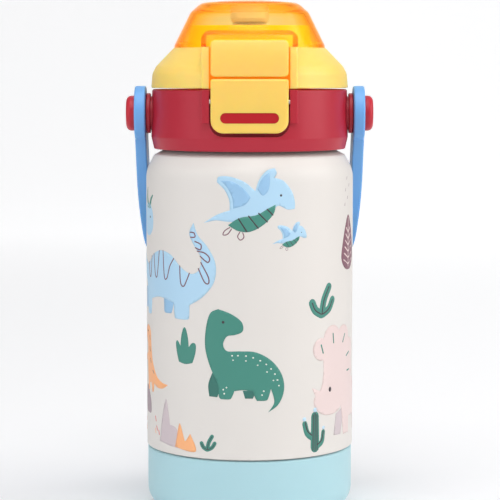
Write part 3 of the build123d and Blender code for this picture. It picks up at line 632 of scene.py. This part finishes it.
def hatchling():
    """A small light-blue animal under two green leaves."""
    body = shape([(-5.0, 0.0), (-6.0, 5.0), (-3.4, 9.4), (1.6, 9.6), (4.4, 6.2), (4.2, 1.2),
                  (0.0, -1.4)])
    leaves = [stroke([(-1.4, 9.2), (-2.4, 12.0), (-1.8, 15.2)], 2.2, 0.8),
              stroke([(1.2, 9.0), (2.6, 11.4), (4.4, 12.8)], 2.0, 0.8)]
    return (
        [("light_blue", 0, body), ("charcoal", 1, dot(1.6, 5.2, 0.4))]
        + [("green", 0, outline) for outline in leaves]
    )


# Each motif, where its own zero lies (u, v), its scale, and -1 where it faces the other way.
LAYOUT = (
    (flyer, 0.0, 116.3, 1.0, 1), (flyer, 14.6, 103.8, 0.40, 1), (spiny, -33.4, 73.0, 1.0, 1),
    (sprig, 28.0, 73.4, 1.0, 1), (bush, -24.6, 57.2, 1.0, 1), (long_neck, -1.8, 41.4, 1.0, 1),
    (upright, -45.0, 46.2, 1.0, 1), (peaks, -30.4, 26.8, 1.0, 1), (stone, -50.0, 36.8, 1.2, 1),
    (sprig, -15.6, 26.4, 0.5, 1), (cactus, 25.2, 25.2, 0.95, 1), (frilled, 38.6, 29.4, 0.98, 1),
    (leaf, 46.4, 89.6, 1.0, 1), (hatchling, -49.0, 102.8, 1.05, 1),
    (flyer, 82.0, 108.0, 0.95, -1), (upright, 78.0, 62.0, 1.1, -1), (bush, 70.0, 84.0, 0.9, 1),
    (cactus, 74.0, 27.0, 1.05, -1), (long_neck, 100.0, 30.0, 0.85, -1), (sprig, 102.0, 80.0, 0.9, -1),
    (spiny, -93.0, 30.0, 0.85, -1), (flyer, -104.0, 112.0, 0.5, 1), (leaf, -113.0, 76.0, 0.9, 1),
    (hatchling, -82.0, 74.0, 1.0, -1), (bush, -72.0, 100.0, 1.0, -1), (sprig, -100.0, 92.0, 0.8, 1),
    (peaks, -66.0, 26.4, 0.8, -1), (stone, 117.0, 62.0, 0.9, 1),
)


def grid_over(outline):
    """Points over an outline's box, close enough that a wrapped face stays on the curve."""
    us, vs = [point[0] for point in outline], [point[1] for point in outline]
    columns = range(math.ceil(min(us) / DRAWING_GRID), math.ceil(max(us) / DRAWING_GRID))
    rows = range(math.ceil(min(vs) / DRAWING_GRID), math.ceil(max(vs) / DRAWING_GRID))
    return [
        Vector(((column + 0.5 * (row % 2)) * DRAWING_GRID, row * DRAWING_GRID))
        for row in rows for column in columns
    ]


def lay_ink(work, outlines, layer, radius):
    """Adds one layer of one ink to a mesh: the outlines' union, wrapped as a closed thin skin."""
    points, loops = [], []
    for outline in outlines:
        loops.append(list(range(len(points), len(points) + len(outline))))
        points += [Vector(point) for point in outline]
    for outline in outlines:
        points += grid_over(outline)
    flat, _, faces, *_ = geometry.delaunay_2d_cdt(points, [], loops, INSIDE_ONLY, WELD_GAP)
    used = sorted({corner for face in faces for corner in face})
    sides = []
    for height in (layer * INK_THICKNESS, (layer + 1) * INK_THICKNESS):
        out = (radius + height) * MM
        sides.append({
            corner: work.verts.new((
                out * math.sin(flat[corner].x / radius),
                -out * math.cos(flat[corner].x / radius),
                flat[corner].y * MM,
            ))
            for corner in used
        })
    inner, outer = sides
    partner = {outer[corner]: inner[corner] for corner in used}
    top = []
    for face in faces:
        top.append(work.faces.new([outer[corner] for corner in face]))
        work.faces.new([inner[corner] for corner in reversed(face)])
    open_loops = [loop for face in top for loop in face.loops if len(loop.edge.link_faces) == 1]
    for first, second in [(loop.vert, loop.link_loop_next.vert) for loop in open_loops]:
        work.faces.new((second, first, partner[first], partner[second]))


def print_motifs():
    """Draws every motif at its place, and makes one piece of each ink."""
    _, shell_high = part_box("outer_shell")
    radius = shell_high[0] / MM
    sheets = {}
    for motif, at_u, at_v, scale, facing in LAYOUT:
        for ink, layer, outline in motif():
            placed = [(at_u + facing * scale * u, at_v + scale * v) for u, v in outline]
            sheets.setdefault(ink, {}).setdefault(layer, []).append(placed[::facing])
    for ink, layers in sheets.items():
        work = bmesh.new()
        for layer, outlines in sorted(layers.items()):
            lay_ink(work, outlines, layer, radius)
        for face in work.faces:
            face.smooth = True
        for edge in work.edges:
            edge.smooth = edge.calc_face_angle(0.0) < SKIN_EDGE
        piece = add_object("print_" + ink, work, ink_paint("ink_" + ink, INKS[ink]))
        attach(piece, "bottle")


# ---- the latch's spring --------------------------------------------------------------------

COIL_WIRE_R = 0.25 * MM
COIL_TURNS = 3
COIL_STEPS = 32
COIL_SIDES = 10


def soft_spring():
    """The spring behind the button, rebuilt as a coil of wire in place of the CAD spring."""
    (x0, y0, z0), (x1, y1, z1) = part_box("latch_spring")
    middle_x, middle_z = (x0 + x1) / 2, (z0 + z1) / 2
    radius = (x1 - x0) / 2 - COIL_WIRE_R
    steps = COIL_TURNS * COIL_STEPS
    climb = (y1 - y0 - 2 * COIL_WIRE_R) / steps
    work = bmesh.new()
    rings = []
    for step in range(steps + 1):
        angle = 2 * math.pi * step / COIL_STEPS
        ring = []
        for side in range(COIL_SIDES):
            turn = 2 * math.pi * side / COIL_SIDES
            reach = radius + COIL_WIRE_R * math.cos(turn)
            y = y1 - COIL_WIRE_R - climb * step + COIL_WIRE_R * math.sin(turn)
            ring.append(work.verts.new((
                middle_x + reach * math.cos(angle), y, middle_z + reach * math.sin(angle)
            )))
        rings.append(ring)
    for first, second in zip(rings, rings[1:]):
        for side in range(COIL_SIDES):
            after = (side + 1) % COIL_SIDES
            face = work.faces.new((first[side], first[after], second[after], second[side]))
            face.smooth = True
    work.faces.new(rings[0][::-1])
    work.faces.new(rings[-1])
    bmesh.ops.recalc_face_normals(work, faces=work.faces)
    piece = add_object("latch_spring_soft", work, PAINTS["bare_steel"])
    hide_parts("latch_spring")
    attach(piece, "lid")
    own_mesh(piece)


# ---- the studio ---------------------------------------------------------------------------

# The paper sweep: a flat floor, a quarter bend up and a straight back.
SWEEP_HALF = 4.0
SWEEP_FRONT = -3.0
SWEEP_TOP = 8.0
BEND_START = 1.6
BEND_R = 0.9
BEND_STEPS = 16
# How strongly the paper glows under the object and at its back, and over which depths.
GLOW_SPAN = (0.08, 0.53)
GLOW_DEPTHS = (0.0, 1.25)
# The glow fades out between these distances to the side, and is a tenth more on the right.
GLOW_SIDES = (0.5, 1.3)
GLOW_TILT = (1.0, 1.1)
TILT_HALF = 0.1

LAMP_TARGET = (0.0, 0.0, 0.10)
WARM = (1.0, 0.985, 0.965)
COOL = (0.96, 0.98, 1.0)
WHITE = (1.0, 1.0, 1.0)
# Name, place, width and height, watts, colour.
LAMPS = (
    ("key_right", (1.11, -0.20, 0.55), (0.9, 0.9), 7.4, WARM),
    ("fill_left", (-1.0, -0.55, 0.40), (0.9, 1.1), 3.75, COOL),
    ("fill_front", (0.0, -1.14, 0.28), (1.6, 0.5), 1.15, WHITE),
    ("top", (0.0, -0.35, 1.1), (1.0, 1.0), 8.9, WHITE),
    ("front_high", (0.0, -0.90, 0.85), (0.45, 0.40), 0.9, WHITE),
)
SURROUND_COLOUR = (0.97, 0.98, 1.0, 1.0)
SURROUND_LIGHT = 0.23

EYE = (0.00015, -0.737, 0.161)
LOOK_DOWN = 5.114
SENSOR_WIDTH = 36.0
FOCAL_LENGTH = 144.2


def paper():
    """The sweep's white paper, with a glow that keeps the background pale."""
    tree = Tree("sweep_paper")
    tree.set(Base_Color=(0.83, 0.83, 0.84, 1.0), Roughness=0.8)
    place = tree.add("SeparateXYZ", {0: tree.place})
    side = tree.add("Math", {0: place.outputs["X"]}, operation="ABSOLUTE").outputs[0]
    middle = tree.spread(side, 1.0, 0.0, *GLOW_SIDES)
    back = tree.spread(place.outputs["Y"], *GLOW_SPAN, *GLOW_DEPTHS)
    tilt = tree.spread(place.outputs["X"], *GLOW_TILT, -TILT_HALF, TILT_HALF)
    glow = tree.both(tree.both(middle, back), tilt)
    tree.set(Emission_Color=(1.0, 1.0, 1.0, 1.0), Emission_Strength=glow)
    tree.set(Normal=tree.bump(tree.noise(0.01), 0.05 * MM))
    return tree.material


def backdrop():
    """A pale floor swept up into a backdrop."""
    line = [(SWEEP_FRONT, 0.0), (BEND_START, 0.0)]
    for step in range(1, BEND_STEPS + 1):
        turn = math.pi / 2 * step / BEND_STEPS
        line.append((BEND_START + BEND_R * math.sin(turn), BEND_R - BEND_R * math.cos(turn)))
    line.append((BEND_START + BEND_R, SWEEP_TOP))
    work = bmesh.new()
    rows = [[work.verts.new((x, y, z)) for x in (-SWEEP_HALF, SWEEP_HALF)] for y, z in line]
    for lower, upper in zip(rows, rows[1:]):
        work.faces.new((lower[0], lower[1], upper[1], upper[0])).smooth = True
    sweep = add_object("sweep", work, paper())


def lights():
    """Soft rectangular lamps aimed at the bottle, and an even surround."""
    world = bpy.data.worlds.new("surround")
    world.use_nodes = True
    surround = world.node_tree.nodes["Background"]
    surround.inputs["Color"].default_value = SURROUND_COLOUR
    surround.inputs["Strength"].default_value = SURROUND_LIGHT
    bpy.context.scene.world = world
    for name, place, size, power, colour in LAMPS:
        lamp = bpy.data.lights.new(name, "AREA")
        lamp.shape = "RECTANGLE"
        lamp.size, lamp.size_y = size
        lamp.energy = power
        lamp.color = colour
        holder = bpy.data.objects.new(name, lamp)
        holder.location = place
        aim = Vector(LAMP_TARGET) - Vector(place)
        holder.rotation_euler = aim.to_track_quat("-Z", "Y").to_euler()
        bpy.context.scene.collection.objects.link(holder)


def camera():
    """A long lens a little above the bottle's middle, looking slightly down."""
    lens = bpy.data.cameras.new("camera")
    lens.sensor_width = SENSOR_WIDTH
    lens.lens = FOCAL_LENGTH
    lens.clip_start = 0.05
    holder = bpy.data.objects.new("camera", lens)
    holder.location = EYE
    holder.rotation_euler = (math.radians(90 - LOOK_DOWN), 0, 0)
    bpy.context.scene.collection.objects.link(holder)
    bpy.context.scene.camera = holder


paint_cad()
print_motifs()
soft_spring()
backdrop()
lights()
camera()
bpy.context.scene.view_settings.view_transform = "Standard"
